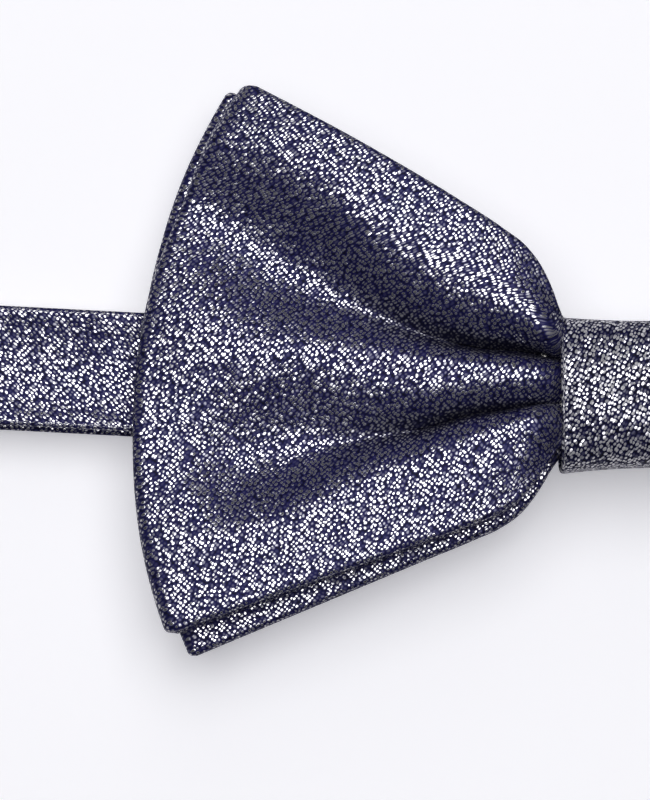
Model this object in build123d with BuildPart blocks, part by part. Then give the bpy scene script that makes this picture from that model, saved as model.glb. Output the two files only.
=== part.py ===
from build123d import *
import os
from math import pi

# Pre-tied gentleman's bow tie with an adjustable neck strap, lying face up and unhooked.
# Millimetres. +Z up out of the table, +X along the strap to the wearer's left, +Y towards the chin.
# The origin is on the table, straight below the middle of the knot.

os.makedirs("parts", exist_ok=True)

# Neck strap: one flattened loop. The front run carries the bow, the rear run lies below it.
strap_width = 15.0
strap_thickness = 1.0
lining_pocket_width = 13.6
lining_pocket_thickness = 0.4
lining_clearance = 0.02
half_span = 125.0          # strap fold on the left and hook tip on the right, from the origin
rear_run_z = 0.9           # underside of the rear run, which rides on the slider and the hook
front_run_z = 5.9          # underside of the front run
fold_outer_radius = (front_run_z + strap_thickness - rear_run_z) / 2
fold_axis_x = fold_outer_radius - half_span
fold_axis_z = rear_run_z + fold_outer_radius

# Bow: two folded loops of cloth, one behind the other, the front one turned a little.
wing_reach = 64.5          # from the origin to the middle of a wing's outer edge
wing_corner_x = 55.4
wing_corner_y = 34.6
wing_corner_radius = 1.5
shoulder_x = 17.5
shoulder_y = 16.8
shoulder_middle_x = 13.3
shoulder_middle_y = 13.1
waist_half_height = 7.6
waist_half_width = 11.4
bow_thickness = 3.0
bow_wall = 0.6
bow_lining_thickness = 0.4
back_bow_z = 7.4
front_bow_z = 10.6
front_bow_turn = -3.0

# Knot: a cloth ring round the bows' waists and the front run, over a felt pad.
knot_width = 22.0
knot_half_height = 9.5
knot_wall = 1.0
knot_back_z = 4.7
knot_shoulder_z = 15.4
knot_crown_z = 18.4
knot_corner_radius = 1.6
padding_width = 20.0
padding_half_height = 8.0
padding_base_z = 14.1
padding_shoulder_z = 14.5
padding_crown_z = 17.1
gather_turns = 4
gather_pitch = 3.0
gather_thickness = 0.25
gather_half_height = 8.0     # inside of the thread's turns
cloth_gap = 0.05           # between layers that lie on each other

# Clasp and adjuster: sheet metal with a round bar that the strap is turned round.
metal_thickness = 0.8
bar_radius = metal_thickness / 2
rail_inner_y = 7.9
rail_outer_y = 9.5
rail_overlap = 0.4         # how far the bars run into the rails
rail_margin = 0.4          # rail past the bar
web_depth = 1.6
frame_corner_radius = 0.9
loop_hole_radius = 0.5
eye_bar_x = 67.5
eye_bar_z = 5.4
eye_web_x = 69.6
eye_tip_x = 78.6
eye_ring_half_width = 7.5
eye_opening = (5.7, 11.0)
eye_ring_corner = 2.6
eye_opening_corner = 1.6
eye_strap_wall = 1.4       # cloth past the bar's centre at the turned end
eye_leg_thickness = 0.5
eye_leg_start_x = 58.0
eye_turn_radius = 1.1
hook_bar_x = 113.0
hook_bar_z = 2.65
hook_web_x = 115.0
hook_web_end_x = 117.5
hook_tongue_half_width = 4.0
hook_gap = 1.0
hook_lip_start_x = 118.5
slider_x = 97.0
slider_bar_z = 2.9
slider_half_length = 5.8
slider_end_bar_width = 1.6
slider_post_half_width = 1.2
slider_post_corner = 0.6

# Turned strap end between the slider and the hook.
end_loop_start_x = 80.0
end_loop_gap = 0.05
return_ply_z = 3.4
return_ply_thickness = 0.7
return_lip_z = 2.0
return_lip_thickness = 0.4
return_lip_end_x = 101.0
end_loop_wall = 1.65       # cloth past the hook bar's centre at the turn
curl_wall = 1.4            # cloth past the slider bar's centre at the curl
hook_turn_corner = 1.4
curl_corner = 0.9

# Hand stitches, short raised bars of thread.
stitch_length = 2.2
stitch_width = 0.35
stitch_height = 0.15
stitch_pitch = 1.5
tack_count = 8
eye_tack_offset = 5.8
slider_tack_offset = 3.2
back_stitch_count = 7
back_stitch_angle = 25

wing_sagitta = wing_reach - wing_corner_x
wing_arc_radius = (wing_corner_y**2 + wing_sagitta**2) / (2 * wing_sagitta)
wing_arc_centre = wing_arc_radius - wing_reach


def save(part, label):
    part.label = label
    export_step(part, f"parts/{label}.step")


def bow_outline(inset):
    # Both wings and the waist between them, drawn as the left half and mirrored.
    shoulder_middle = (-shoulder_middle_x, shoulder_middle_y)
    with BuildSketch() as outline:
        with BuildLine():
            Line((0, -waist_half_height), (0, waist_half_height))
            Line((0, waist_half_height), (-waist_half_width, waist_half_height))
            ThreePointArc((-waist_half_width, waist_half_height), shoulder_middle, (-shoulder_x, shoulder_y))
            Line((-shoulder_x, shoulder_y), (-wing_corner_x, wing_corner_y))
            ThreePointArc((-wing_corner_x, wing_corner_y), (-wing_reach, 0), (-wing_corner_x, -wing_corner_y))
            Line((-wing_corner_x, -wing_corner_y), (-shoulder_x, -shoulder_y))
            ThreePointArc(
                (-shoulder_x, -shoulder_y),
                (shoulder_middle[0], -shoulder_middle[1]),
                (-waist_half_width, -waist_half_height),
            )
            Line((-waist_half_width, -waist_half_height), (0, -waist_half_height))
        make_face()
        corners = outline.vertices().group_by(Axis.X)[0]
        fillet(corners, radius=wing_corner_radius)
        mirror(about=Plane.YZ)
        if inset > 0:
            offset(amount=-inset)
    return outline.sketch


def wing_lens(inset):
    # The region between the two outer edges, moved in by the inset and open at top and bottom.
    with BuildSketch() as lens:
        with Locations((wing_arc_centre, 0)):
            Circle(wing_arc_radius - inset)
        with Locations((-wing_arc_centre, 0)):
            Circle(wing_arc_radius - inset, mode=Mode.INTERSECT)
    return lens.sketch


def bow_layer(base_z, turn, outer_depth, inner_depth, edge_inset):
    # One loop of cloth: closed round the wings' outer edges, open along the top and bottom.
    outline = bow_outline(edge_inset)
    outer_lens = wing_lens(outer_depth)
    inner_lens = wing_lens(inner_depth)
    layer_plane = Plane.XY.rotated((0, 0, turn))
    with BuildPart() as layer:
        with BuildSketch(layer_plane.offset(base_z + outer_depth)):
            add(outline)
            add(outer_lens, mode=Mode.INTERSECT)
        extrude(amount=bow_thickness - 2 * outer_depth)
        with BuildSketch(layer_plane.offset(base_z + inner_depth)):
            add(inner_lens)
        extrude(amount=bow_thickness - 2 * inner_depth, mode=Mode.SUBTRACT)
    return layer.part


def strap_run(start_x, end_x, base_z):
    # A flat tube of cloth along X, open at both ends for its interlining.
    with BuildPart() as run:
        with BuildSketch(Plane.YZ.offset(start_x)):
            with Locations((0, base_z + strap_thickness / 2)):
                Rectangle(strap_width, strap_thickness)
                Rectangle(lining_pocket_width, lining_pocket_thickness, mode=Mode.SUBTRACT)
        extrude(amount=end_x - start_x)
    return run.part


def strap_lining(start_x, end_x, base_z):
    with BuildPart() as lining:
        with BuildSketch(Plane.YZ.offset(start_x)):
            with Locations((0, base_z + strap_thickness / 2)):
                Rectangle(
                    lining_pocket_width - 2 * lining_clearance,
                    lining_pocket_thickness - 2 * lining_clearance,
                )
        extrude(amount=end_x - start_x)
    return lining.part


def fold_sector(outer_radius, inner_radius):
    # The outside half of a ring round the fold's axis.
    with BuildSketch(Plane.XZ) as sector:
        with Locations((fold_axis_x, fold_axis_z)):
            Circle(outer_radius)
            Circle(inner_radius, mode=Mode.SUBTRACT)
        with Locations((fold_axis_x + outer_radius, fold_axis_z)):
            Rectangle(2 * outer_radius, 4 * outer_radius, mode=Mode.SUBTRACT)
    return sector.sketch


def stitch_row(centre_x, count, base_z, angle):
    # Short threads side by side across the strap.
    with BuildPart() as row:
        with BuildSketch(Plane.XY.offset(base_z)):
            with Locations((centre_x, 0)):
                with GridLocations(1, stitch_pitch, 1, count):
                    SlotOverall(stitch_length, stitch_width, rotation=angle)
        extrude(amount=stitch_height)
    return row.part


# Bows ------------------------------------------------------------------------------------------
lining_outer = bow_wall + cloth_gap
lining_inner = lining_outer + bow_lining_thickness
lining_edge = 0.8
bow_layers = {
    "back": (back_bow_z, 0.0),
    "front": (front_bow_z, front_bow_turn),
}
for bow_name, (base_z, turn) in bow_layers.items():
    save(bow_layer(base_z, turn, 0.0, bow_wall, 0.0), f"{bow_name}_bow_shell")
    save(bow_layer(base_z, turn, lining_outer, lining_inner, lining_edge), f"{bow_name}_bow_interlining")

# Thread wound round both waists ----------------------------------------------------------------
gather_bottom_z = back_bow_z - cloth_gap
gather_top_z = front_bow_z + bow_thickness + cloth_gap
with BuildPart() as gather_thread:
    for turn_number in range(gather_turns):
        turn_x = (turn_number - (gather_turns - 1) / 2) * gather_pitch
        with BuildSketch(Plane.YZ.offset(turn_x - gather_thickness / 2)):
            with Locations((0, (gather_bottom_z + gather_top_z) / 2)):
                Rectangle(
                    2 * (gather_half_height + gather_thickness),
                    gather_top_z - gather_bottom_z + 2 * gather_thickness,
                )
                Rectangle(2 * gather_half_height, gather_top_z - gather_bottom_z, mode=Mode.SUBTRACT)
        extrude(amount=gather_thickness)
save(gather_thread.part, "gather_thread")

# Felt pad that rounds the knot -----------------------------------------------------------------
with BuildPart() as knot_padding:
    with BuildSketch(Plane.YZ):
        with BuildLine():
            Polyline(
                (-padding_half_height, padding_shoulder_z),
                (-padding_half_height, padding_base_z),
                (padding_half_height, padding_base_z),
                (padding_half_height, padding_shoulder_z),
            )
            ThreePointArc(
                (padding_half_height, padding_shoulder_z),
                (0, padding_crown_z),
                (-padding_half_height, padding_shoulder_z),
            )
        make_face()
    extrude(amount=padding_width / 2, both=True)
save(knot_padding.part, "knot_padding")

# Knot wrap, a ring closed at the back ----------------------------------------------------------
with BuildPart() as knot_wrap:
    with BuildSketch(Plane.YZ) as wrap_section:
        with BuildLine():
            Polyline(
                (-knot_half_height, knot_shoulder_z),
                (-knot_half_height, knot_back_z),
                (knot_half_height, knot_back_z),
                (knot_half_height, knot_shoulder_z),
            )
            ThreePointArc(
                (knot_half_height, knot_shoulder_z),
                (0, knot_crown_z),
                (-knot_half_height, knot_shoulder_z),
            )
        make_face()
        fillet(wrap_section.vertices(), radius=knot_corner_radius)
        offset(amount=-knot_wall, mode=Mode.SUBTRACT)
    extrude(amount=knot_width / 2, both=True)
save(knot_wrap.part, "knot_wrap")

# Slip stitches along the wrap's seam at the back -----------------------------------------------
save(stitch_row(0, back_stitch_count, knot_back_z - stitch_height, back_stitch_angle), "knot_back_stitches")

# Front run of the strap, behind the knot -------------------------------------------------------
save(strap_run(fold_axis_x, eye_leg_start_x, front_run_z), "strap_front")
save(strap_lining(fold_axis_x, eye_leg_start_x, front_run_z), "strap_front_interlining")

# Right end of the front run, turned under round the eye's bar ----------------------------------
eye_leg_z = eye_bar_z - loop_hole_radius - eye_leg_thickness
front_run_top_z = front_run_z + strap_thickness
with BuildPart() as strap_eye_end:
    with BuildSketch(Plane.XZ):
        with BuildLine():
            FilletPolyline(
                (eye_leg_start_x, front_run_top_z),
                (eye_bar_x + eye_strap_wall, front_run_top_z),
                (eye_bar_x + eye_strap_wall, eye_leg_z),
                (eye_leg_start_x, eye_leg_z),
                radius=eye_turn_radius,
            )
            Line((eye_leg_start_x, eye_leg_z), (eye_leg_start_x, front_run_top_z))
        make_face()
        with Locations(((eye_leg_start_x + eye_bar_x) / 2, eye_bar_z)):
            Rectangle(eye_bar_x - eye_leg_start_x, 2 * loop_hole_radius, mode=Mode.SUBTRACT)
        with Locations((eye_bar_x, eye_bar_z)):
            Circle(loop_hole_radius, mode=Mode.SUBTRACT)
    extrude(amount=strap_width / 2, both=True)
save(strap_eye_end.part, "strap_eye_end")
save(stitch_row(eye_bar_x - eye_tack_offset, tack_count, front_run_top_z, 0), "eye_bar_tack")

# Left fold of the strap ------------------------------------------------------------------------
pocket_depth = (strap_thickness - lining_pocket_thickness) / 2
with BuildPart() as strap_fold:
    extrude(fold_sector(fold_outer_radius, fold_outer_radius - strap_thickness), strap_width / 2, both=True)
    pocket_sector = fold_sector(
        fold_outer_radius - pocket_depth,
        fold_outer_radius - pocket_depth - lining_pocket_thickness,
    )
    extrude(pocket_sector, lining_pocket_width / 2, both=True, mode=Mode.SUBTRACT)
save(strap_fold.part, "strap_fold")

with BuildPart() as strap_fold_interlining:
    lining_sector = fold_sector(
        fold_outer_radius - pocket_depth - lining_clearance,
        fold_outer_radius - pocket_depth - lining_pocket_thickness + lining_clearance,
    )
    extrude(lining_sector, lining_pocket_width / 2 - lining_clearance, both=True)
save(strap_fold_interlining.part, "strap_fold_interlining")

# Rear run --------------------------------------------------------------------------------------
save(strap_run(fold_axis_x, end_loop_start_x, rear_run_z), "strap_rear")
save(strap_lining(fold_axis_x, end_loop_start_x, rear_run_z), "strap_rear_interlining")

# Turned end: round the hook's bar, back over itself and round the slider's bar -----------------
end_loop_right_x = hook_bar_x + end_loop_wall
return_top_z = return_ply_z + return_ply_thickness
rear_run_top_z = rear_run_z + strap_thickness
with BuildPart() as strap_end_loop:
    with BuildSketch(Plane.XZ) as turn_section:
        with BuildLine():
            FilletPolyline(
                (end_loop_start_x + end_loop_gap, rear_run_z),
                (end_loop_right_x, rear_run_z),
                (end_loop_right_x, return_top_z),
                (slider_x - curl_wall, return_top_z),
                (slider_x - curl_wall, return_lip_z),
                (return_lip_end_x, return_lip_z),
                radius=(hook_turn_corner, hook_turn_corner, curl_corner, curl_corner),
            )
            Polyline(
                (return_lip_end_x, return_lip_z),
                (return_lip_end_x, return_lip_z + return_lip_thickness),
                (slider_x, slider_bar_z - loop_hole_radius),
            )
            ThreePointArc(
                (slider_x, slider_bar_z - loop_hole_radius),
                (slider_x - loop_hole_radius, slider_bar_z),
                (slider_x, slider_bar_z + loop_hole_radius),
            )
            Line((slider_x, slider_bar_z + loop_hole_radius), (hook_bar_x, return_ply_z))
            ThreePointArc(
                (hook_bar_x, return_ply_z),
                (hook_bar_x + (return_ply_z - rear_run_top_z) / 2, hook_bar_z),
                (hook_bar_x, rear_run_top_z),
            )
            Polyline(
                (hook_bar_x, rear_run_top_z),
                (end_loop_start_x + end_loop_gap, rear_run_top_z),
                (end_loop_start_x + end_loop_gap, rear_run_z),
            )
        make_face()
    extrude(amount=strap_width / 2, both=True)
save(strap_end_loop.part, "strap_end_loop")
save(stitch_row(slider_x + slider_tack_offset, tack_count, return_top_z + cloth_gap, 0), "slider_bar_tack")


def strap_bar(bar_x, bar_z):
    # The round bar between the two side rails, for use inside a part block.
    with Locations(Location((bar_x, 0, bar_z), (90, 0, 0))):
        Cylinder(bar_radius, 2 * (rail_inner_y + rail_overlap))


# Eye: strap slot and an open ring for the hook -------------------------------------------------
eye_ring_length = eye_tip_x - eye_web_x
with BuildPart() as eye:
    with BuildSketch(Plane.XY.offset(eye_bar_z - bar_radius)):
        frame_start_x = eye_bar_x - bar_radius - rail_margin
        frame_end_x = eye_web_x + web_depth
        with Locations(((frame_start_x + frame_end_x) / 2, 0)):
            RectangleRounded(frame_end_x - frame_start_x, 2 * rail_outer_y, radius=frame_corner_radius)
        with Locations(((frame_start_x - 1 + eye_web_x) / 2, 0)):
            Rectangle(eye_web_x - frame_start_x + 1, 2 * rail_inner_y, mode=Mode.SUBTRACT)
        with Locations((eye_web_x + eye_ring_length / 2, 0)):
            RectangleRounded(eye_ring_length, 2 * eye_ring_half_width, radius=eye_ring_corner)
        with Locations((eye_web_x + eye_ring_length / 2, 0)):
            RectangleRounded(eye_opening[0], eye_opening[1], radius=eye_opening_corner, mode=Mode.SUBTRACT)
    extrude(amount=metal_thickness)
    strap_bar(eye_bar_x, eye_bar_z)
save(eye.part, "eye")

# Hook: strap slot and a tongue turned under itself ---------------------------------------------
hook_plate_z = hook_bar_z - bar_radius
hook_turn_radius = (hook_gap + 2 * metal_thickness) / 2
hook_turn_x = half_span - hook_turn_radius
hook_lip_z = hook_plate_z - hook_gap - metal_thickness
with BuildPart() as hook:
    with BuildSketch(Plane.XY.offset(hook_plate_z)):
        frame_start_x = hook_bar_x - bar_radius - rail_margin
        with Locations(((frame_start_x + hook_web_end_x) / 2, 0)):
            RectangleRounded(hook_web_end_x - frame_start_x, 2 * rail_outer_y, radius=frame_corner_radius)
        with Locations(((frame_start_x - 1 + hook_web_x) / 2, 0)):
            Rectangle(hook_web_x - frame_start_x + 1, 2 * rail_inner_y, mode=Mode.SUBTRACT)
    extrude(amount=metal_thickness)
    strap_bar(hook_bar_x, hook_bar_z)
    with BuildSketch(Plane.XZ):
        hook_turn_z = hook_lip_z + hook_turn_radius
        with Locations((hook_turn_x, hook_turn_z)):
            Circle(hook_turn_radius)
            Circle(hook_gap / 2, mode=Mode.SUBTRACT)
        with Locations((hook_turn_x - hook_turn_radius, hook_turn_z)):
            Rectangle(2 * hook_turn_radius, 2 * hook_turn_radius, mode=Mode.SUBTRACT)
        with Locations(((hook_web_x + 1 + hook_turn_x) / 2, hook_bar_z)):
            Rectangle(hook_turn_x - hook_web_x - 1, metal_thickness)
        with Locations(((hook_lip_start_x + hook_turn_x) / 2, hook_lip_z + metal_thickness / 2)):
            Rectangle(hook_turn_x - hook_lip_start_x, metal_thickness)
    extrude(amount=hook_tongue_half_width, both=True)
save(hook.part, "hook")

# Slider: two end bars below the strap, a round bar above it, side rails outside it --------------
slider_post_top_z = slider_bar_z + bar_radius
end_bar_offset = slider_half_length - slider_end_bar_width / 2
rail_thickness = rail_outer_y - rail_inner_y
with BuildPart() as slider:
    for rail_plane in (Plane.XZ.offset(rail_inner_y), Plane.XZ.offset(-rail_outer_y)):
        with BuildSketch(rail_plane):
            with BuildLine():
                Polyline(
                    (slider_x - slider_half_length, 0),
                    (slider_x + slider_half_length, 0),
                    (slider_x + slider_half_length, metal_thickness),
                    (slider_x + slider_post_half_width, slider_post_top_z),
                    (slider_x - slider_post_half_width, slider_post_top_z),
                    (slider_x - slider_half_length, metal_thickness),
                    close=True,
                )
            make_face()
        extrude(amount=rail_thickness)
    fillet(slider.edges().filter_by(Axis.Y).group_by(Axis.Z)[-1], radius=slider_post_corner)
    for side in (-1, 1):
        with Locations((slider_x + side * end_bar_offset, 0, metal_thickness / 2)):
            Box(slider_end_bar_width, 2 * (rail_inner_y + rail_overlap), metal_thickness)
    strap_bar(slider_x, slider_bar_z)
save(slider.part, "slider")

strap_length = (
    (eye_bar_x - fold_axis_x)
    + pi * (fold_outer_radius - strap_thickness / 2)
    + (hook_bar_x - fold_axis_x)
)
print("strap from eye bar to hook bar:", round(strap_length, 1), "mm")
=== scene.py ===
import bpy
import bmesh
import math
import numpy as np
from mathutils import Matrix, Vector


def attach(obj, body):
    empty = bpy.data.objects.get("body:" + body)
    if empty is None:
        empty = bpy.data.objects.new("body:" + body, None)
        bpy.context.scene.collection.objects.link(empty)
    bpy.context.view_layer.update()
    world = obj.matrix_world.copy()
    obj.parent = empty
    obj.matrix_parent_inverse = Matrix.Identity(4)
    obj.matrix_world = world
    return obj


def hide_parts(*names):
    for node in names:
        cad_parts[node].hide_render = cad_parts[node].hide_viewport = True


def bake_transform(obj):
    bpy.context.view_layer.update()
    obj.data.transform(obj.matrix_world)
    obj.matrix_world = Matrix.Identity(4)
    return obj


# A pre-tied bow tie laid face up: two pleated bows, a wrapped knot and a looped neck strap with its clasp.
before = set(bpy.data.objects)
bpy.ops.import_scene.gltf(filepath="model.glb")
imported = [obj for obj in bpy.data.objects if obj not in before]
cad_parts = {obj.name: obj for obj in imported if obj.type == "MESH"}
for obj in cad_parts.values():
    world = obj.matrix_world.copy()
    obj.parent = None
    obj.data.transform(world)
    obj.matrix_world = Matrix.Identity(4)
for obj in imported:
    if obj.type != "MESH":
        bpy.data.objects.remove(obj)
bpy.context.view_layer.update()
mm = 0.001
bowBody = "bow_and_front_strap"
liningThickness = 0.35        # mm
print("frame loaded")


# camera, light and floor
shot = {
    "centre": (-40.3, -2.6, 10.0),   # mm, the middle of the view
    "height": 100.0,                 # mm of the object that the long side of the picture covers
    "lens": 200.0,
    "roll": 3.0,                     # degrees
    "tilt": 7.0,                     # degrees off straight down, towards -Y
    "lights": {                       # name: place, size, power and what it lights
        "softKey": ((-60.0, 240.0, 1180.0), 1300.0, 11.6, "diffuse"),
        "sideKey": ((-100.0, 950.0, 750.0), 800.0, 1.2, "diffuse"),
        "sheen": ((0.0, 130.0, 1190.0), 1000.0, 21.0, "glossy"),
    },
    "worldColour": (0.80, 0.84, 1.0),
    "worldStrength": 0.03,
    "floorSize": 6000.0,
    "floorGlow": 0.40,               # light coming up through the paper
}


def makeCamera(values):
    camData = bpy.data.cameras.new("camera")
    camData.lens = values["lens"]
    camData.sensor_width = 36.0
    cam = bpy.data.objects.new("camera", camData)
    bpy.context.collection.objects.link(cam)
    roll = math.radians(values["roll"])
    tilt = math.radians(values["tilt"])
    up = Vector((-math.sin(roll), math.cos(roll), 0.0))
    back = Vector((0.0, 0.0, math.cos(tilt))) - up * math.sin(tilt)
    distance = values["height"] * mm * values["lens"] / camData.sensor_width
    right = up.cross(back).normalized()
    trueUp = back.cross(right)
    turn = Matrix((right, trueUp, back)).transposed()
    cam.matrix_world = Matrix.Translation(Vector(values["centre"]) * mm + back * distance) @ turn.to_4x4()
    camData.clip_start = 0.01
    camData.clip_end = 20.0
    bpy.context.scene.camera = cam
    bpy.context.scene.view_settings.view_transform = "Standard"


def makeLights(values):
    for name, (place, size, power, lights) in values["lights"].items():
        lampData = bpy.data.lights.new(name, "AREA")
        lampData.shape = "DISK"
        lampData.size = size * mm
        lampData.energy = power
        lamp = bpy.data.objects.new(name, lampData)
        bpy.context.collection.objects.link(lamp)
        lamp.location = Vector(place) * mm
        lamp.rotation_mode = "QUATERNION"
        lamp.rotation_quaternion = lamp.location.to_track_quat("Z", "Y")
        lamp.visible_diffuse = lights == "diffuse"
        lamp.visible_glossy = lights == "glossy"
    world = bpy.data.worlds.new("studio")
    bpy.context.scene.world = world
    world.use_nodes = True
    world.node_tree.nodes["Background"].inputs["Color"].default_value = (*values["worldColour"], 1.0)
    world.node_tree.nodes["Background"].inputs["Strength"].default_value = values["worldStrength"]


# shader maths as expressions
class Sock:
    def __init__(self, tree, out):
        self.tree = tree
        self.out = out

    def maths(self, operation, *others, clamp=False):
        node = self.tree.nodes.new("ShaderNodeMath")
        node.operation = operation
        node.use_clamp = clamp
        for slot, value in zip(node.inputs, (self, *others)):
            connect(self.tree, value, slot)
        return Sock(self.tree, node.outputs[0])

    def __add__(self, other): return self.maths("ADD", other)
    def __radd__(self, other): return self.maths("ADD", other)
    def __sub__(self, other): return self.maths("SUBTRACT", other)
    def __rsub__(self, other): return (self * -1.0).maths("ADD", other)
    def __mul__(self, other): return self.maths("MULTIPLY", other)
    def __rmul__(self, other): return self.maths("MULTIPLY", other)
    def __truediv__(self, other): return self.maths("DIVIDE", other)


def connect(tree, value, socket):
    if isinstance(value, Sock):
        tree.links.new(value.out, socket)
    else:
        socket.default_value = value


def addNode(tree, kind, settings=None, values=None, out=0):
    node = tree.nodes.new(kind)
    for name, setting in (settings or {}).items():
        setattr(node, name, setting)
    for name, value in (values or {}).items():
        connect(tree, value, node.inputs[name])
    return Sock(tree, node.outputs[out])


def ramp(tree, value, low, high, fromLow=0.0, toHigh=1.0):
    return addNode(
        tree, "ShaderNodeMapRange",
        {"interpolation_type": "SMOOTHSTEP"},
        {"Value": value, "From Min": low, "From Max": high, "To Min": fromLow, "To Max": toHigh},
    )


def mixColour(tree, factor, first, second):
    node = tree.nodes.new("ShaderNodeMix")
    node.data_type = "RGBA"
    connect(tree, factor, node.inputs[0])
    connect(tree, first, node.inputs[6])
    connect(tree, second, node.inputs[7])
    return Sock(tree, node.outputs[2])


def newMaterial(name):
    material = bpy.data.materials.new(name)
    material.use_nodes = True
    tree = material.node_tree
    return material, tree, tree.nodes["Principled BSDF"]


silk = {
    "angle": 50.0,            # degrees, the way the dots line up
    "pitchAcross": 0.40,      # mm between lines of dots
    "pitchAlong": 0.58,       # mm from dot to dot along a line
    "jitter": 0.6,            # how far a dot may stray from its place, as a share of the pitch
    "wander": 0.35,           # mm that a line of dots drifts from side to side
    "dotEdge": (0.17, 0.45),  # where a dot ends, in cells
    "faintest": 0.05,         # strength of the faintest dots
    "ground": (0.011, 0.0105, 0.078),
    "groundGapsAndPaintedShade": (0.003, 0.003, 0.016),    # the ground in the gaps between dots, and the painted shade the ground takes deep in a crease
    "groundMetal": 0.2,
    "dot": (0.45, 0.445, 0.45),
    "dotMetal": 0.85,
    "dotRoughness": 0.17,
    "groundRoughness": 0.60,
    "bump": 0.02,             # mm that a dot stands up
    "creaseShade": 0.85,      # painted shade: share of the dots' strength that is lost deep in a crease
    "twist": 0.26,            # how far each dot's thread may lean
}


def spread(tree, colour, size):
    # a random colour as a vector about zero
    half = (0.5, 0.5, 0.5)
    centred = addNode(tree, "ShaderNodeVectorMath", {"operation": "SUBTRACT"}, {0: colour, 1: half})
    return addNode(tree, "ShaderNodeVectorMath", {"operation": "SCALE"}, {0: centred, "Scale": size})


def addVectors(tree, first, second):
    return addNode(tree, "ShaderNodeVectorMath", {"operation": "ADD"}, {0: first, 1: second})


def makeSilk(name, values):
    material, tree, shader = newMaterial(name)
    turn = math.radians(values["angle"])
    uv = addNode(tree, "ShaderNodeUVMap", {"uv_map": "cloth"})
    inMm = addNode(tree, "ShaderNodeMapping", {}, {"Vector": uv, "Scale": (1 / mm, 1 / mm, 1 / mm)})
    drift = addNode(tree, "ShaderNodeTexNoise", {"noise_dimensions": "2D"},
                    {"Vector": inMm, "Scale": 0.9, "Detail": 1.0}, out=1)
    bent = addVectors(tree, inMm, spread(tree, drift, values["wander"]))
    turned = addNode(tree, "ShaderNodeMapping", {}, {"Vector": bent, "Rotation": (0.0, 0.0, -turn)})
    cellScale = (1 / values["pitchAlong"], 1 / values["pitchAcross"], 1.0)
    cells = addNode(tree, "ShaderNodeMapping", {}, {"Vector": turned, "Scale": cellScale})
    distance = addNode(tree, "ShaderNodeTexVoronoi", {"voronoi_dimensions": "2D"},
                       {"Vector": cells, "Scale": 1.0, "Randomness": values["jitter"]})
    cellColour = Sock(tree, distance.out.node.outputs["Color"])
    chance = addNode(tree, "ShaderNodeSeparateColor", {}, {"Color": cellColour})
    secondChance = Sock(tree, chance.out.node.outputs["Green"])
    dotSize = ramp(tree, secondChance, 0.0, 1.0, 0.82, 1.12)
    dot = 1.0 - ramp(tree, distance / dotSize, *values["dotEdge"])
    # painted shade: the mesh's crease attribute dims the dots deep in a crease and darkens the ground there
    crease = addNode(tree, "ShaderNodeAttribute", {"attribute_name": "crease"}, out=2)
    strength = ramp(tree, chance, 0.0, 0.6, values["faintest"], 1.0)
    mask = dot * strength * (1.0 - crease * values["creaseShade"])
    between = ramp(tree, distance, 0.45, 0.75)
    # dark ground in the gaps between dots, plus painted shade in the creases
    deep = (between + crease).maths("MINIMUM", 1.0)
    ground = mixColour(tree, deep, (*values["ground"], 1.0), (*values["groundGapsAndPaintedShade"], 1.0))
    colour = mixColour(tree, mask, ground, (*values["dot"], 1.0))
    connect(tree, colour, shader.inputs["Base Color"])
    metal = mask * (values["dotMetal"] - values["groundMetal"]) + values["groundMetal"]
    connect(tree, metal, shader.inputs["Metallic"])
    rough = values["groundRoughness"] + mask * (values["dotRoughness"] - values["groundRoughness"])
    connect(tree, rough, shader.inputs["Roughness"])
    shader.inputs["Specular IOR Level"].default_value = 0.1
    facing = addNode(tree, "ShaderNodeNewGeometry", out=1)
    leaning = addVectors(tree, facing, spread(tree, cellColour, values["twist"]))
    leaning = addNode(tree, "ShaderNodeVectorMath", {"operation": "NORMALIZE"}, {0: leaning})
    bump = addNode(tree, "ShaderNodeBump", {},
                   {"Strength": 0.6, "Distance": values["bump"] * mm, "Height": mask, "Normal": leaning})
    connect(tree, bump, shader.inputs["Normal"])
    return material


def makePlainCloth(name, colour, darker, scale):
    material, tree, shader = newMaterial(name)
    place = addNode(tree, "ShaderNodeTexCoord", out=3)
    weave = addNode(tree, "ShaderNodeTexNoise", {}, {"Vector": place, "Scale": scale, "Detail": 3.0})
    tone = mixColour(tree, ramp(tree, weave, 0.3, 0.7), (*darker, 1.0), (*colour, 1.0))
    connect(tree, tone, shader.inputs["Base Color"])
    connect(tree, ramp(tree, weave, 0.3, 0.7, 0.95, 0.8), shader.inputs["Roughness"])
    bump = addNode(tree, "ShaderNodeBump", {}, {"Strength": 0.5, "Distance": 0.1 * mm, "Height": weave})
    connect(tree, bump, shader.inputs["Normal"])
    return material


def makeNickel(name):
    material, tree, shader = newMaterial(name)
    place = addNode(tree, "ShaderNodeTexCoord", out=3)
    stretched = addNode(tree, "ShaderNodeMapping", {}, {"Vector": place, "Scale": (300.0, 9000.0, 9000.0)})
    brushed = addNode(tree, "ShaderNodeTexNoise", {}, {"Vector": stretched, "Scale": 1.0, "Detail": 2.0})
    worn = addNode(tree, "ShaderNodeTexNoise", {}, {"Vector": place, "Scale": 420.0, "Detail": 4.0})
    tone = mixColour(tree, ramp(tree, worn, 0.35, 0.7), (0.78, 0.76, 0.72, 1.0), (0.62, 0.60, 0.56, 1.0))
    connect(tree, tone, shader.inputs["Base Color"])
    shader.inputs["Metallic"].default_value = 1.0
    connect(tree, ramp(tree, brushed, 0.3, 0.7, 0.18, 0.32) + ramp(tree, worn, 0.4, 0.8, 0.0, 0.12),
            shader.inputs["Roughness"])
    bump = addNode(tree, "ShaderNodeBump", {}, {"Strength": 0.25, "Distance": 0.02 * mm, "Height": brushed})
    connect(tree, bump, shader.inputs["Normal"])
    return material


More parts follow.
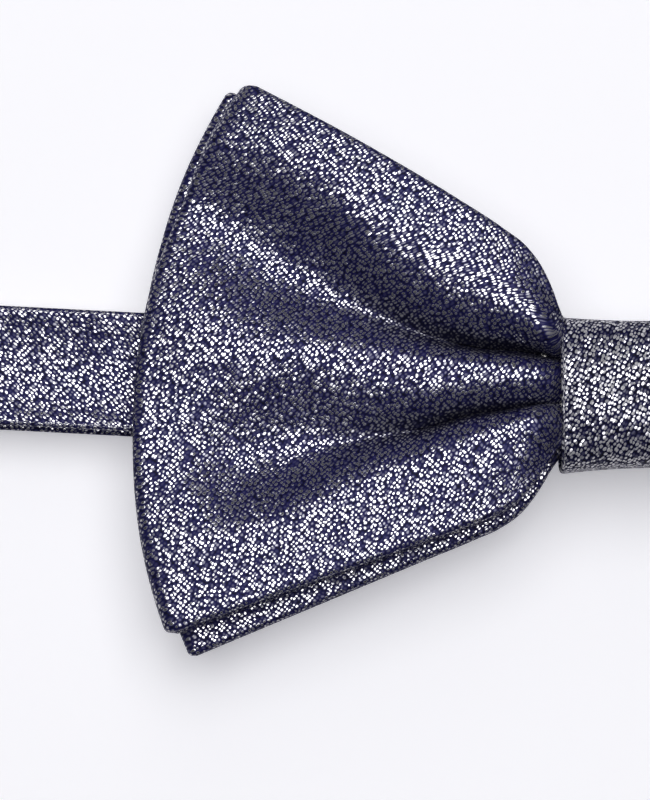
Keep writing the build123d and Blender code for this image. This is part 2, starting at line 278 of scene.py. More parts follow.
def makeFloorPaper(name, glow):
    material, tree, shader = newMaterial(name)
    place = addNode(tree, "ShaderNodeTexCoord", out=3)
    grain = addNode(tree, "ShaderNodeTexNoise", {}, {"Vector": place, "Scale": 900.0, "Detail": 2.0})
    tone = mixColour(tree, grain, (0.86, 0.855, 0.89, 1.0), (0.88, 0.875, 0.91, 1.0))
    connect(tree, tone, shader.inputs["Base Color"])
    connect(tree, tone, shader.inputs["Emission Color"])
    shader.inputs["Emission Strength"].default_value = glow
    shader.inputs["Roughness"].default_value = 0.9
    shader.inputs["Specular IOR Level"].default_value = 0.1
    return material


def makeFloor(values):
    half = values["floorSize"] * mm / 2
    mesh = bpy.data.meshes.new("floor")
    corners = [(-half, -half, 0), (half, -half, 0), (half, half, 0), (-half, half, 0)]
    mesh.from_pydata(corners, [], [(0, 1, 2, 3)])
    floor = bpy.data.objects.new("floor", mesh)
    bpy.context.collection.objects.link(floor)
    floor.data.materials.append(makeFloorPaper("floorPaper", values["floorGlow"]))


makeCamera(shot)
makeLights(shot)
makeFloor(shot)
bowSilk = makeSilk("bowSilk", silk)
knotSilk = makeSilk("knotSilk", {           # the knot's own piece is cut the other way; its paler dots are painted light, brighter than the bows' dots to stand in for the light the knot catches
    **silk, "angle": 32.0, "pitchAlong": 0.56, "dotEdge": (0.24, 0.46), "twist": 0.5,
    "dot": (0.74, 0.73, 0.76), "dotMetal": 0.5, "dotRoughness": 0.24,
    "ground": (0.006, 0.006, 0.050), "groundGapsAndPaintedShade": (0.001, 0.001, 0.006),
})
strapSilk = makeSilk("strapSilk", {**silk, "angle": 40.0})
liningCloth = makePlainCloth("liningCloth", (0.80, 0.78, 0.72), (0.66, 0.64, 0.58), 2500.0)
feltCloth = makePlainCloth("feltCloth", (0.70, 0.68, 0.62), (0.52, 0.50, 0.45), 900.0)
navyThread = makePlainCloth("navyThread", (0.03, 0.03, 0.14), (0.01, 0.01, 0.05), 6000.0)
nickel = makeNickel("nickel")
print("stage and materials ready")


# meshes from point grids
def curveThrough(stations, values, at):
    # a smooth curve through a few values, level past both ends
    xs = np.asarray(stations, float)
    ys = np.asarray(values, float)
    slopes = np.gradient(ys, xs)
    at = np.clip(at, xs[0], xs[-1])
    left = np.clip(np.searchsorted(xs, at, side="right") - 1, 0, len(xs) - 2)
    width = xs[left + 1] - xs[left]
    t = (at - xs[left]) / width
    return (
        ys[left] * (2 * t**3 - 3 * t**2 + 1)
        + slopes[left] * width * (t**3 - 2 * t**2 + t)
        + ys[left + 1] * (3 * t**2 - 2 * t**3)
        + slopes[left + 1] * width * (t**3 - t**2)
    )


def unit(vectors):
    return vectors / np.maximum(np.linalg.norm(vectors, axis=-1, keepdims=True), 1e-12)


def gridMesh(name, points, uvs, closedRows, closedColumns, material, paintedCreaseShade=None):
    # points is rows x columns x 3 in mm; uvs holds the two ends of each row of faces
    rows, columns = points.shape[:2]
    rowFaces = rows if closedRows else rows - 1
    columnFaces = columns if closedColumns else columns - 1
    r, c = np.meshgrid(np.arange(rowFaces), np.arange(columnFaces), indexing="ij")
    r, c = r.ravel(), c.ravel()
    rNext, cNext = r + 1, c + 1
    corners = np.stack([
        (r % rows) * columns + c % columns,
        (rNext % rows) * columns + c % columns,
        (rNext % rows) * columns + cNext % columns,
        (r % rows) * columns + cNext % columns,
    ], axis=1)
    uvCorners = np.stack([uvs[0, r, c], uvs[1, r, c], uvs[1, r, cNext], uvs[0, r, cNext]], axis=1)
    mesh = bpy.data.meshes.new(name)
    mesh.vertices.add(rows * columns)
    mesh.vertices.foreach_set("co", (points * mm).astype(np.float32).ravel())
    faces = len(corners)
    mesh.loops.add(faces * 4)
    mesh.loops.foreach_set("vertex_index", corners.astype(np.int32).ravel())
    mesh.polygons.add(faces)
    mesh.polygons.foreach_set("loop_start", np.arange(0, faces * 4, 4, dtype=np.int32))
    layer = mesh.uv_layers.new(name="cloth")
    layer.data.foreach_set("uv", (uvCorners * mm).astype(np.float32).ravel())
    mesh.polygons.foreach_set("use_smooth", np.ones(faces, dtype=bool))
    mesh.update(calc_edges=True)
    # painted crease shade, stored as the crease attribute that the silk reads
    if paintedCreaseShade is not None:
        shade = mesh.attributes.new("crease", "FLOAT", "POINT")
        shade.data.foreach_set("value", paintedCreaseShade.astype(np.float32).ravel())
    if not (closedRows and closedColumns):
        seam = bmesh.new()
        seam.from_mesh(mesh)
        bmesh.ops.remove_doubles(seam, verts=seam.verts, dist=1e-6)
        seam.to_mesh(mesh)
        seam.free()
    mesh.validate()
    piece = bpy.data.objects.new(name, mesh)
    bpy.context.collection.objects.link(piece)
    mesh.materials.append(material)
    return piece


def thickSheet(name, middle, thickness, closedRows, material, rimSteps=3, starts=None, paintedCreaseShade=None):
    # a cloth of even thickness round a middle surface, with rounded long edges
    if closedRows:
        along = np.roll(middle, -1, 0) - np.roll(middle, 1, 0)
    else:
        along = np.gradient(middle, axis=0)
    across = np.gradient(middle, axis=1)
    normal = unit(np.cross(along, across))
    half = np.broadcast_to(np.asarray(thickness, float) / 2, (len(middle),))[:, None]
    rimHalf = half
    half = half[:, :, None]
    outer = middle + normal * half
    inner = (middle - normal * half)[:, ::-1]
    angles = np.linspace(0, math.pi, rimSteps + 2)[1:-1]
    rims = []
    for edge, sign in ((-1, 1.0), (0, -1.0)):
        outward = unit(across[:, edge]) * sign
        turn = angles if edge == -1 else angles[::-1]
        up = normal[:, edge]
        rims.append(np.stack([
            middle[:, edge] + rimHalf * (math.cos(a) * up + math.sin(a) * outward) for a in turn
        ], axis=1))
    around = np.concatenate([outer, rims[0], inner, rims[1]], axis=1)
    if not closedRows:                                   # close both ends onto the middle surface
        centre = (around.mean(axis=1, keepdims=True))
        flat = np.concatenate([middle, middle[:, -1:].repeat(rimSteps, 1), middle[:, ::-1],
                               middle[:, :1].repeat(rimSteps, 1)], axis=1)
        around = np.concatenate([flat[:1], around, flat[-1:]], axis=0)
    # cloth coordinates: the run along the sheet from the nearest start, and the distance from its middle
    ahead = np.roll(middle, -1, 0) if closedRows else middle[1:]
    step = ahead - middle[: len(ahead)]
    sideways = unit(across[: len(ahead)])
    run = np.linalg.norm(step - (step * sideways).sum(axis=2, keepdims=True) * sideways, axis=2)
    travelled = np.concatenate([np.zeros((1, run.shape[1])), np.cumsum(run, axis=0)], axis=0)[: len(middle)]
    u = np.zeros_like(travelled)
    for start, first, last in starts or [(0, 0, len(middle))]:
        u[first:last] = travelled[first:last] - travelled[start] + 0.37 * first
    acrossStep = np.linalg.norm(np.diff(middle, axis=1), axis=2)
    v = np.concatenate([np.zeros((len(middle), 1)), np.cumsum(acrossStep, axis=1)], axis=1)
    v = v - v[:, v.shape[1] // 2][:, None]
    here = np.stack([u[: len(ahead)], v[: len(ahead)]], axis=2)
    there = np.stack([u[: len(ahead)] + run, np.roll(v, -1, 0)[: len(ahead)]], axis=2)

    rim = float(rimHalf.max())

    def roundTheEdge(sheetUv):
        rimUp = np.stack([sheetUv[:, -1] + (0, rim * a) for a in angles], axis=1)
        rimDown = np.stack([sheetUv[:, 0] - (0, rim * a) for a in angles[::-1]], axis=1)
        under = sheetUv[:, ::-1] + (0.37, 0.21)
        return np.concatenate([sheetUv, rimUp, under, rimDown, sheetUv[:, :1]], axis=1)

    uvs = np.stack([roundTheEdge(here), roundTheEdge(there)])
    if not closedRows:
        uvs = np.concatenate([uvs[:, :1], uvs, uvs[:, -1:]], axis=1)
    # the painted crease shade covers the outer face and its rims, not the inner face
    if paintedCreaseShade is not None:
        paintedCreaseShade = np.concatenate([paintedCreaseShade, paintedCreaseShade[:, -1:].repeat(rimSteps, 1), paintedCreaseShade[:, ::-1] * 0.0,
                                  paintedCreaseShade[:, :1].repeat(rimSteps, 1)], axis=1)
    return gridMesh(name, around, uvs, closedRows, True, material, paintedCreaseShade)


# the bows
wing = {
    "bulge": 8.5,             # mm the outer edge stands out past a line through the corners
    "topStations": (10.0, 11.6, 12.5, 13.7, 15.2, 17.6, 21.0, 27.2, 40.4, 55.6),
    "topHeights": (7.4, 7.7, 8.6, 11.0, 13.6, 16.2, 18.3, 21.5, 27.8, 34.5),
    "bottomStations": (10.0, 11.4, 13.0, 15.0, 17.6, 21.0, 27.2, 40.4, 55.6),
    "bottomHeights": (7.4, 9.3, 12.2, 15.0, 17.1, 18.8, 21.6, 27.6, 34.5),
    "thickness": 1.1,
    "lip": 1.25,              # least distance between the middles of the two panels
    "edgeGap": 2.4,           # the same at the outer edge, where the cloth turns back
    "edgeReach": 0.5,         # how far out the turn stands, as a share of half its gap
    "droop": 0.9,             # how far the corners hang
    "columns": 96,
    "rows": 100,
    "creaseReach": 12,        # rows to each side that a crease is measured against
    "creaseFull": 0.9,        # mm of depth at which a crease is in full painted shade
    "creaseFade": (24.0, 40.0),   # mm from the knot's middle over which that painted shade dies out
}
# each wing is pleated: two lobes with a ridge between them and a crease on each side of the ridge,
# given from the knot out to the edge by where each line runs and how high it stands
pleats = {
    "stations": (11.0, 13.0, 17.0, 22.0, 28.0, 35.0, 42.0, 50.0, 58.0, 64.0),
    "topRim": ((7.6, 8.8, 15.0, 18.5, 22.0, 25.0, 28.0, 31.0, 33.0, 34.0),
               (1.4, 3.8, 5.2, 5.7, 5.8, 5.6, 5.3, 4.5, 3.0, 1.7)),
    "topLobe": ((4.8, 5.6, 8.8, 12.0, 15.5, 19.0, 22.6, 26.0, 27.0, 27.5),
                (2.2, 4.6, 5.6, 5.8, 5.8, 5.7, 5.5, 4.7, 3.2, 1.8)),
    "upperCrease": ((3.2, 3.4, 3.6, 3.4, 4.2, 6.3, 8.4, 12.0, 16.0, 17.5),
                    (0.0, 0.1, 0.4, 0.9, 1.2, 0.9, 0.5, 0.4, 0.6, 0.6)),
    "ridge": ((1.0, 1.0, 1.0, 1.0, 0.8, 0.8, 0.6, 0.8, 3.0, 5.0),
              (2.0, 3.3, 3.6, 3.5, 3.5, 3.2, 3.1, 2.8, 2.3, 1.15)),
    "lowerCrease": ((-2.6, -2.9, -4.0, -5.2, -7.6, -9.4, -11.2, -12.8, -12.0, -12.0),
                    (0.0, 0.0, 0.0, 0.0, 0.0, 0.1, 0.0, 0.0, 1.0, 1.0)),
    "lowLobe": ((-4.6, -5.0, -6.8, -9.4, -12.8, -16.8, -20.8, -24.2, -24.0, -24.0),
                (1.6, 2.8, 3.2, 3.1, 2.9, 3.0, 3.4, 3.1, 2.3, 1.15)),
    "lowRim": ((-7.6, -11.0, -16.5, -19.0, -22.0, -25.5, -28.5, -32.0, -34.0, -35.0),
               (0.8, 1.8, 2.4, 2.6, 2.6, 2.9, 3.2, 3.0, 2.3, 1.15)),
    "steepNear": 2.6,         # how sharply a lobe rolls over into its crease by the knot
}
backPleats = {
    "stations": (11.0, 22.0, 38.0, 64.0),
    "topRim": ((7.6, 18.5, 26.0, 35.0), (0.5, 0.9, 0.8, 0.1)),
    "topLobe": ((4.6, 12.0, 20.0, 26.0), (0.6, 1.0, 0.9, 0.1)),
    "upperCrease": ((2.0, 5.0, 9.0, 12.0), (0.2, 0.3, 0.3, 0.0)),
    "ridge": ((0.0, 0.0, 0.0, 0.0), (0.6, 0.9, 0.8, 0.1)),
    "lowerCrease": ((-2.0, -5.0, -9.0, -12.0), (0.2, 0.3, 0.3, 0.0)),
    "lowLobe": ((-4.6, -12.0, -20.0, -26.0), (0.6, 1.0, 0.9, 0.1)),
    "lowRim": ((-7.6, -18.5, -26.0, -35.0), (0.5, 0.9, 0.8, 0.1)),
    "steepNear": 1.0,
}
pleatLines = ("topRim", "topLobe", "upperCrease", "ridge", "lowerCrease", "lowLobe", "lowRim")
intoCrease = (0, 1, 0, 1, -1, 0)        # which end of each stretch is the creased one


def pleatRelief(folds, s, y):
    places = [curveThrough(folds["stations"], folds[line][0], s) for line in pleatLines]
    heights = [curveThrough(folds["stations"], folds[line][1], s) for line in pleatLines]
    nearKnot = np.clip((42.0 - s) / 20.0, 0, 1)
    power = 1.0 + (folds["steepNear"] - 1.0) * nearKnot
    relief = heights[0].copy()
    for i, crease in enumerate(intoCrease):
        t = np.clip((places[i] - y) / (places[i] - places[i + 1]), 0, 1)
        if crease == 1:
            t = t**power
        if crease == -1:
            t = 1 - (1 - t) ** power
        share = t * t * (3 - 2 * t)
        if crease:
            share = share * (1 - nearKnot) + t * nearKnot
        relief += (heights[i + 1] - heights[i]) * share
    return relief


def ripple(x, y, seed):
    # slow uneven waves, so that no two stretches of cloth are alike
    total = np.zeros_like(x)
    for i in range(5):
        angle = seed + 1.7 * i
        wave = 0.16 + 0.06 * i
        across = x * math.cos(angle) + y * math.sin(angle)
        total += np.sin(wave * across + 2.3 * i + seed) / (1.0 + 0.6 * i)
    return total


def wingPanel(values, corners, u, v, inset):
    # plan position of a left wing's cloth, with x measured outwards
    half = values["thickness"] / 2
    (topX, topY), (bottomX, bottomY) = corners
    halfChord = (topY + bottomY) / 2
    radius = (halfChord**2 + values["bulge"] ** 2) / (2 * values["bulge"])
    bow = values["bulge"] - radius + np.sqrt(radius**2 - (v * halfChord) ** 2)
    edge = bottomX + (topX - bottomX) * (v + 1) / 2 + bow - inset
    start = 10.0
    s = start + (edge - start) * u
    topAt = start + (values["topStations"][-1] - start) * u
    bottomAt = start + (values["bottomStations"][-1] - start) * u
    top = curveThrough(values["topStations"], values["topHeights"], topAt)
    bottom = curveThrough(values["bottomStations"], values["bottomHeights"], bottomAt)
    top = top + (topY - values["topHeights"][-1]) * u - half
    bottom = bottom + (bottomY - values["bottomHeights"][-1]) * u - half
    y = (top - bottom) / 2 + v * (top + bottom) / 2
    return s, y


def bowMiddle(values, corners, folds, backZ, columns, rows, shrink, seed):
    # the whole loop: front panel over the waist, round one outer edge, back panel, round the other
    v = np.linspace(-1, 1, rows) * shrink
    u = np.linspace(0, 1, columns) ** 0.85
    uGrid, vGrid = np.meshgrid(u, v, indexing="ij")
    s, y = wingPanel(values, corners, uGrid, vGrid,
                     values["edgeReach"] * values["edgeGap"] / 2 + values["thickness"] / 2)
    sag = values["droop"] * (s / 65.0) ** 2 * (y / 35.0) ** 2
    edgeFade = 1 - np.abs(vGrid) ** 5
    puff = pleatRelief(folds, s, y) + 0.10 * ripple(s, y, seed)
    gap = values["lip"] + np.maximum(puff, 0.0)
    frontZ = backZ + gap - sag
    rearZ = backZ + 0.05 * ripple(s, y, seed + 1.0) * edgeFade - sag
    left = np.stack([-s, y, frontZ], axis=2)                 # knot to outer edge
    leftRear = np.stack([-s, y, rearZ], axis=2)
    half = np.array([-1.0, -1.0, 1.0])
    right = (left * half)[:, ::-1]                           # the left wing turned half round
    rightRear = (leftRear * half)[:, ::-1]
    turns = np.linspace(0, math.pi, 8)[1:-1]

    def outerTurn(frontEdge, rearEdge, outward):
        centre = (frontEdge + rearEdge) / 2
        arm = (frontEdge - rearEdge) / 2
        reachOut = np.linalg.norm(arm, axis=1, keepdims=True) * outward * values["edgeReach"]
        return np.stack([centre + arm * math.cos(a) + reachOut * math.sin(a) for a in turns], axis=0)

    blendSteps = np.linspace(0, 1, 10)[1:-1]
    ease = blendSteps**2 * (3 - 2 * blendSteps)

    def waist(fromEdge, toEdge):
        straight = np.stack([fromEdge + (toEdge - fromEdge) * t for t in blendSteps], axis=0)
        eased = np.stack([fromEdge + (toEdge - fromEdge) * t for t in ease], axis=0)
        straight[..., 2] = eased[..., 2]
        return straight

    frontWaist = waist(left[0], right[0])
    rearWaist = waist(rightRear[0], leftRear[0])
    loop = np.concatenate([
        frontWaist[4:],
        right,
        outerTurn(right[-1], rightRear[-1], np.array([1.0, 0.0, 0.0])),
        rightRear[::-1],
        rearWaist,
        leftRear,
        outerTurn(leftRear[-1], left[-1], np.array([-1.0, 0.0, 0.0])),
        left[::-1],
        frontWaist[:4],
    ], axis=0)
    # the cloth is cut in two panels that meet at the outer edges, so each is measured from its own waist
    seam = 4 + columns + 3
    rearCentre = 4 + columns + 6 + columns + 4
    lastSeam = len(loop) - 4 - columns - 3
    starts = [(0, 0, seam), (rearCentre, seam, lastSeam), (len(loop) - 1, lastSeam, len(loop))]
    return loop, starts


def creaseDepth(loop, values):
    # how far each place lies below the cloth on either side of it, from 0 to 1, fading out away from the
    # knot: the strength of the painted crease shade
    reach = values["creaseReach"]
    height = np.pad(loop[..., 2], ((0, 0), (reach, reach)), mode="edge")
    total = np.cumsum(np.pad(height, ((0, 0), (1, 0))), axis=1)
    average = (total[:, 2 * reach + 1:] - total[:, : -2 * reach - 1]) / (2 * reach + 1)
    inner, outer = values["creaseFade"]
    fade = np.clip((outer - np.abs(loop[..., 0])) / (outer - inner), 0, 1)
    return np.clip((average - loop[..., 2]) / values["creaseFull"], 0, 1) * fade


def turnAbout(points, degrees):
    angle = math.radians(degrees)
    turned = points.copy()
    turned[..., 0] = points[..., 0] * math.cos(angle) - points[..., 1] * math.sin(angle)
    turned[..., 1] = points[..., 0] * math.sin(angle) + points[..., 1] * math.cos(angle)
    return turned


bows = {
    "front_bow": {
        "corners": ((54.1, 33.0), (56.6, 35.8)),      # top and bottom, outwards and away from the middle
        "folds": pleats, "backZ": 11.2, "turn": -3.0, "seed": 0.4,
    },
    "back_bow": {
        "corners": ((55.2, 36.0), (56.0, 35.3)),
        "folds": backPleats, "backZ": 7.95, "turn": 0.0, "seed": 2.1,
    },
}
for bowName, bow in bows.items():
    shape = (bow["corners"], bow["folds"], bow["backZ"])
    path, starts = bowMiddle(wing, *shape, wing["columns"], wing["rows"], 1.0, bow["seed"])
    # the crease depth goes with the shell as painted shade
    shell = thickSheet(bowName, turnAbout(path, bow["turn"]), wing["thickness"], True, bowSilk, 3, starts,
                       creaseDepth(path, wing))
    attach(shell, bowBody)
    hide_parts(bowName + "_shell")
    path, starts = bowMiddle(wing, *shape, 56, 60, 0.97, bow["seed"])
    path = turnAbout(path, bow["turn"])
    lining = thickSheet(bowName + "_lining", path, liningThickness, True, liningCloth, 3, starts)
    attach(lining, bowBody)
    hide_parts(bowName + "_interlining")
print("bows made")


# the knot
knot = {
    "halfWidth": 11.2,
    "turn": 3.5,              # degrees that it sits askew
    "wall": 1.0,
    "backZ": 4.9,
    "crown": 18.3,            # its highest place
    "edgeHalfHeight": 9.7,
    "middleHalfHeight": 9.1,
    "columns": 60,
    "rows": 220,
}


def superRing(angle, halfY, lowZ, highZ, power):
    # a rounded box section
    c, s = math.cos(angle), math.sin(angle)
    y = halfY * math.copysign(abs(c) ** (2 / power), c)
    z = (lowZ + highZ) / 2 + (highZ - lowZ) / 2 * math.copysign(abs(s) ** (2 / power), s)
    return y, z


def knotMiddle(values):
    xs = np.linspace(-1, 1, values["columns"])
    angles = np.linspace(0, 2 * math.pi, values["rows"], endpoint=False)
    half = values["wall"] / 2
    flare = values["edgeHalfHeight"] - values["middleHalfHeight"]
    rings = np.zeros((values["rows"], values["columns"], 3))
    for i, a in enumerate(angles):
        for j, t in enumerate(xs):
            halfY = values["middleHalfHeight"] + flare * t**2 - half
            high = values["crown"] - half - 0.9 * abs(t) ** 3
            y, z = superRing(-a, halfY, values["backZ"] + half, high, 3.0)
            top = max(0.0, math.sin(-a))
            z += 0.10 * top * math.sin(0.55 * t * 11 + y * 0.35) + 0.08 * top * math.sin(1.1 * y + 2.0 * t)
            rings[i, j] = (t * (values["halfWidth"] - half), y, z)
    return rings


knotPath = turnAbout(knotMiddle(knot), knot["turn"])
knotWrap = thickSheet("knot_wrap_cloth", knotPath, knot["wall"], True, knotSilk, 5)
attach(knotWrap, bowBody)
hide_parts("knot_wrap")
print("knot made")

# inside the knot: the thread that gathers the bows and the felt pad that fills the wrap
inside = {
    "threadTurns": 4,
    "threadPitch": 3.0,
    "threadRadius": 0.13,
    "threadBox": (8.2, 7.15, 13.75),      # half height, lowest and highest
    "padHalf": (9.9, 8.0),
    "padFrom": 14.2,
    "padCrown": 2.5,
    "padBelly": 0.5,
}


def tube(name, points, radius, material, sides=8):
    # a round thread along points, its ends closed
    points = np.asarray(points, float)
    tangent = unit(np.gradient(points, axis=0))
    side = unit(np.cross(tangent, np.array([0.31, 0.17, 0.93])))
    up = np.cross(side, tangent)
    angles = np.linspace(0, 2 * math.pi, sides, endpoint=False)
    ring = np.stack([
        points + radius * (math.cos(a) * side + math.sin(a) * up) for a in angles
    ], axis=1)
    ends = [points[row, None].repeat(sides, 1) for row in (slice(0, 1), slice(-1, None))]
    ring = np.concatenate([ends[0], ring, ends[1]], axis=0)
    blank = np.zeros((2, len(ring) - 1, sides + 1, 2))
    return gridMesh(name, ring, blank, False, True, material)


def gatherThread(values):
    halfY, low, high = values["threadBox"]
    points = []
    for t in np.linspace(0, 1, 60 * values["threadTurns"]):
        angle = 2 * math.pi * values["threadTurns"] * t + math.pi / 2
        y, z = superRing(angle, halfY, low, high, 5.0)
        x = (t - 0.5) * values["threadPitch"] * (values["threadTurns"] - 1)
        points.append((x, y, z))
    return tube("gather_thread_turns", points, values["threadRadius"], navyThread)


def feltPad(values):
    # a domed pad with thin rounded edges, both faces crowned
    halfX, halfY = values["padHalf"]
    radius = np.linspace(0, 1, 16)
    angles = np.linspace(0, 2 * math.pi, 64, endpoint=False)
    rows = []
    for face in (1, -1):
        for r in radius if face == 1 else radius[::-1]:
            ring = []
            for a in angles:
                c, k = math.cos(a), math.sin(a)
                x = halfX * r * math.copysign(abs(c) ** 0.5, c)
                y = halfY * r * math.copysign(abs(k) ** 0.5, k)
                swell = math.sqrt(max(0.0, 1 - r**4))
                tall = values["padCrown"] if face == 1 else -values["padBelly"]
                fuzz = 0.05 * math.sin(2.3 * x + 1.1 * y) * swell
                ring.append((x, y, values["padFrom"] + values["padBelly"] + tall * swell + fuzz))
            rows.append(ring)
    grid = np.array(rows)[::-1]
    blank = np.zeros((2, len(rows) - 1, len(angles) + 1, 2))
    return gridMesh("felt_pad", grid, blank, False, True, feltCloth)


thread = gatherThread(inside)
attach(thread, bowBody)
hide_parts("gather_thread")
pad = feltPad(inside)
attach(pad, bowBody)
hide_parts("knot_padding")


# hand stitches, laid in rows by one geometry tree
stitches = {
    "length": 2.2,
    "rise": 0.16,
    "thickness": 0.30,
    "wobble": 5.0,            # degrees of unevenness
}
stitchRows = {
    # name: node it stands for, body, first stitch, spacing, number, degrees of slant, face down
    "eye_tack_stitches": ("eye_bar_tack", bowBody, (61.7, -5.25, 6.93), 1.5, 8, 0.0, False),
    "slider_tack_stitches": ("slider_bar_tack", "slider", (100.2, -5.25, 4.12), 1.5, 8, 0.0, False),
    "knot_back_stitching": ("knot_back_stitches", bowBody, (0.0, -4.5, 4.85), 1.5, 7, 25.0, True),
}


def stitchTree(material):
    tree = bpy.data.node_groups.new("stitchRow", "GeometryNodeTree")
    sockets = {}
    for name, kind, value in (
        ("Count", "NodeSocketInt", 8), ("Spacing", "NodeSocketFloat", 1.5 * mm),
        ("Length", "NodeSocketFloat", 2.2 * mm), ("Rise", "NodeSocketFloat", 0.2 * mm),
        ("Thickness", "NodeSocketFloat", 0.3 * mm), ("Slant", "NodeSocketFloat", 0.0),
        ("Wobble", "NodeSocketFloat", 0.1), ("Seed", "NodeSocketInt", 3),
    ):
        socket = tree.interface.new_socket(name, in_out="INPUT", socket_type=kind)
        socket.default_value = value
        sockets[name] = socket.identifier
    tree.interface.new_socket("Geometry", in_out="OUTPUT", socket_type="NodeSocketGeometry")
    given = tree.nodes.new("NodeGroupInput")
    wanted = {name: Sock(tree, given.outputs[name]) for name in sockets}
    offset = addNode(tree, "ShaderNodeCombineXYZ", {}, {"Y": wanted["Spacing"]})
    line = addNode(tree, "GeometryNodeMeshLine", {}, {"Count": wanted["Count"], "Offset": offset})
    halfLength = wanted["Length"] * 0.5
    start = addNode(tree, "ShaderNodeCombineXYZ", {}, {"X": halfLength * -1.0})
    middle = addNode(tree, "ShaderNodeCombineXYZ", {}, {"Z": wanted["Rise"] * 2.0})
    end = addNode(tree, "ShaderNodeCombineXYZ", {}, {"X": halfLength})
    arch = addNode(tree, "GeometryNodeCurveQuadraticBezier", {},
                   {"Start": start, "Middle": middle, "End": end})
    profile = addNode(tree, "GeometryNodeCurvePrimitiveCircle", {},
                      {"Resolution": 8, "Radius": wanted["Thickness"] * 0.5})
    stitch = addNode(tree, "GeometryNodeCurveToMesh", {},
                     {"Curve": arch, "Profile Curve": profile, "Fill Caps": True})
    uneven = addNode(tree, "FunctionNodeRandomValue", {"data_type": "FLOAT"},
                     {"Seed": wanted["Seed"]}, out=1)
    slant = wanted["Slant"] + (uneven - 0.5) * wanted["Wobble"]
    turn = addNode(tree, "ShaderNodeCombineXYZ", {}, {"Z": slant})
    row = addNode(tree, "GeometryNodeInstanceOnPoints", {},
                  {"Points": line, "Instance": stitch, "Rotation": turn})
    real = addNode(tree, "GeometryNodeRealizeInstances", {}, {"Geometry": row})
    painted = addNode(tree, "GeometryNodeSetMaterial", {}, {"Geometry": real, "Material": material})
    result = tree.nodes.new("NodeGroupOutput")
    connect(tree, painted, result.inputs["Geometry"])
    return tree, sockets


def stitchRow(name, tree, sockets, place, spacing, count, slant, faceDown):
    holder = bpy.data.objects.new(name + "_tree", bpy.data.meshes.new(name + "_tree"))
    bpy.context.collection.objects.link(holder)
    modifier = holder.modifiers.new("stitches", "NODES")
    modifier.node_group = tree
    wanted = {
        "Count": count, "Spacing": spacing * mm, "Length": stitches["length"] * mm,
        "Rise": stitches["rise"] * mm, "Thickness": stitches["thickness"] * mm,
        "Slant": math.radians(slant), "Wobble": math.radians(2 * stitches["wobble"]), "Seed": 3 + count,
    }
    for key, value in wanted.items():
        modifier[sockets[key]] = value
    graph = bpy.context.evaluated_depsgraph_get()
    mesh = bpy.data.meshes.new_from_object(holder.evaluated_get(graph), depsgraph=graph)
    bpy.data.objects.remove(holder)
    if faceDown:
        mesh.transform(Matrix.Rotation(math.pi, 4, "Y"))
    mesh.transform(Matrix.Translation(Vector(place) * mm))
    mesh.name = name
    mesh.polygons.foreach_set("use_smooth", [True] * len(mesh.polygons))
    piece = bpy.data.objects.new(name, mesh)
    bpy.context.collection.objects.link(piece)
    return piece


rowTree, rowSockets = stitchTree(navyThread)
for rowName, (node, body, *layout) in stitchRows.items():
    tack = stitchRow(rowName, rowTree, rowSockets, *layout)
    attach(tack, body)
    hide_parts(node)
print("thread, pad and stitches made")


# the neck strap: one band, folded back on itself, with one end turned round the eye's bar
# and the other through the hook and round the slider's bar
strap = {
    "width": 15.0,
    "thickness": 1.0,
    "turnedThickness": 0.6,   # where an end is turned under
    "crown": 0.15,            # how far its long edges turn from its middle line
    "frontCrown": 1.5,        # the same for the two pieces on top
    "crest": -0.35,           # where that middle line lies, as a share of its half width
    "lowerShare": 0.45,       # how much of the crown its lower edge takes
    "step": 1.4,              # mm between the lines of its mesh
    "acrossRows": 14,
}
topZ, rearZ = 6.4, 1.4        # the middles of the two runs
foldAt = -122.0
eyeBar = (67.5, 5.42)
hookBar = (113.0, 2.65)
sliderBar = (97.0, 2.9)


def run(start, end, step):
    count = max(2, int(round(math.dist(start, end) / step)) + 1)
    start, end = np.array(start), np.array(end)
    return [tuple(start + (end - start) * t) for t in np.linspace(0, 1, count)]


def bend(centre, radii, fromAngle, toAngle, count=12):
    # an arc in side view; the radius may change along it
    points = []
    for t in np.linspace(0, 1, count):
        angle = math.radians(fromAngle + (toAngle - fromAngle) * t)
        radius = radii[0] + (radii[1] - radii[0]) * t
        points.append((centre[0] + radius * math.cos(angle), centre[1] + radius * math.sin(angle)))
    return points


def band(name, sideView, thickness, width, crown, rows, material):
    # a flat band along a line seen from the side; its crown turns the long edges up on a run
    # to the left and down on a run to the right
    line = [sideView[0]]
    for point in sideView[1:]:
        if math.dist(point, line[-1]) > 0.02:
            line.append(point)
    line = np.array(line)
    tangent = unit(np.gradient(line, axis=0))
    y = np.linspace(-1, 1, rows) * (width / 2 - thickness[0] / 2)
    peak = strap["crest"] * y[-1]
    above = ((y - peak) / (y[-1] - peak)) ** 2
    below = strap["lowerShare"] * ((y - peak) / (peak - y[0])) ** 2
    rise = -crown * np.where(y > peak, above, below)
    middle = np.zeros((len(line), rows, 3))
    middle[..., 0] = line[:, :1] - tangent[:, 1:] * rise
    middle[..., 1] = y
    middle[..., 2] = line[:, 1:] + tangent[:, :1] * rise
    travelled = np.concatenate([[0], np.cumsum(np.linalg.norm(np.diff(line, axis=0), axis=1))])
    thick = np.interp(travelled / travelled[-1], np.linspace(0, 1, len(thickness)), thickness)
    return thickSheet(name, middle, thick, False, material, 4)


def strapPiece(name, sideView, thickness, crown):
    piece = band(name, sideView, thickness, strap["width"], crown, strap["acrossRows"], strapSilk)
    return piece


def strapLining(name, sideView):
    piece = band(name, sideView, (liningThickness, liningThickness), 13.4, 0.1, 8, liningCloth)
    return piece


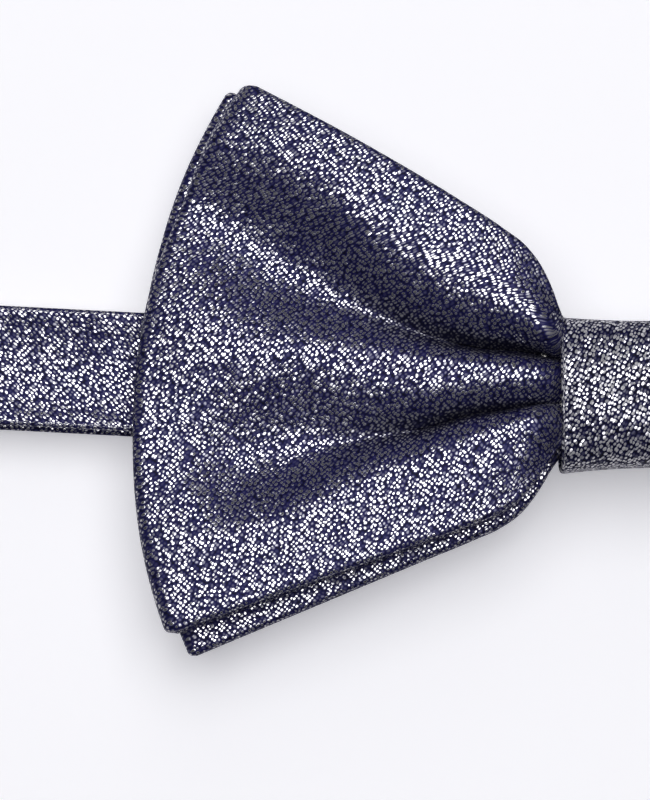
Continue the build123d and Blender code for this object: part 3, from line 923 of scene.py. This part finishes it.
step = strap["step"]
full, thin = strap["thickness"], strap["turnedThickness"]
foldSide = (
    run((0.0, topZ), (foldAt, topZ), step)
    + bend((foldAt, (topZ + rearZ) / 2), (2.5, 2.5), 90, 270, 18)
    + run((foldAt, rearZ), (-117.5, rearZ), step)
)
eyeSide = (
    run((0.0, topZ), (eyeBar[0] - 0.4, topZ), step)
    + bend(eyeBar, (0.97, 0.85), 90, -90)
    + run((eyeBar[0] - 0.4, 4.6), (59.0, 4.62), step)
)
hookSide = (
    run((-120.0, rearZ), (hookBar[0] - 0.3, rearZ), step)
    + bend(hookBar, (1.25, 1.1), -90, 90)
    + run((hookBar[0] - 0.4, 3.75), (111.0, 3.75), step)
)
returnSide = (
    run((hookBar[0] + 0.2, 3.75), (sliderBar[0] + 0.2, 3.75), step)
    + bend(sliderBar, (0.85, 0.72), 90, 270)
    + run((sliderBar[0] + 0.3, 2.18), (101.0, 2.18), step)
)
strapFold = strapPiece("strap_fold_side", foldSide, (full, full, full * 0.96), strap["frontCrown"])
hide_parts("strap_front", "strap_fold")
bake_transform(strapFold)
strapEye = strapPiece("strap_eye_side", eyeSide, (full,) * 7 + (thin,), strap["frontCrown"])
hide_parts("strap_eye_end")
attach(strapEye, bowBody)
strapHook = strapPiece("strap_hook_side", hookSide, (full,) * 49 + (0.7,), strap["crown"])
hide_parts("strap_rear")
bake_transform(strapHook)
strapReturn = strapPiece("strap_return", returnSide, (0.66, 0.66, 0.66, 0.42), strap["crown"])
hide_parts("strap_end_loop")
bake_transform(strapReturn)
foldLining = strapLining("strap_fold_lining", foldSide[2:-2])
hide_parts("strap_fold_interlining")
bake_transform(foldLining)
eyeLining = strapLining("strap_eye_lining", run((0.0, topZ), (66.0, topZ), step))
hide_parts("strap_front_interlining")
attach(eyeLining, bowBody)
hookLining = strapLining("strap_hook_lining", run((-116.0, rearZ), (hookBar[0] - 1.0, rearZ), step))
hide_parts("strap_rear_interlining")
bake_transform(hookLining)
for clasp in ("hook", "eye", "slider"):
    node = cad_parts[clasp]
    node.data.materials.clear()
    node.data.materials.append(nickel)
print("strap and clasp made")
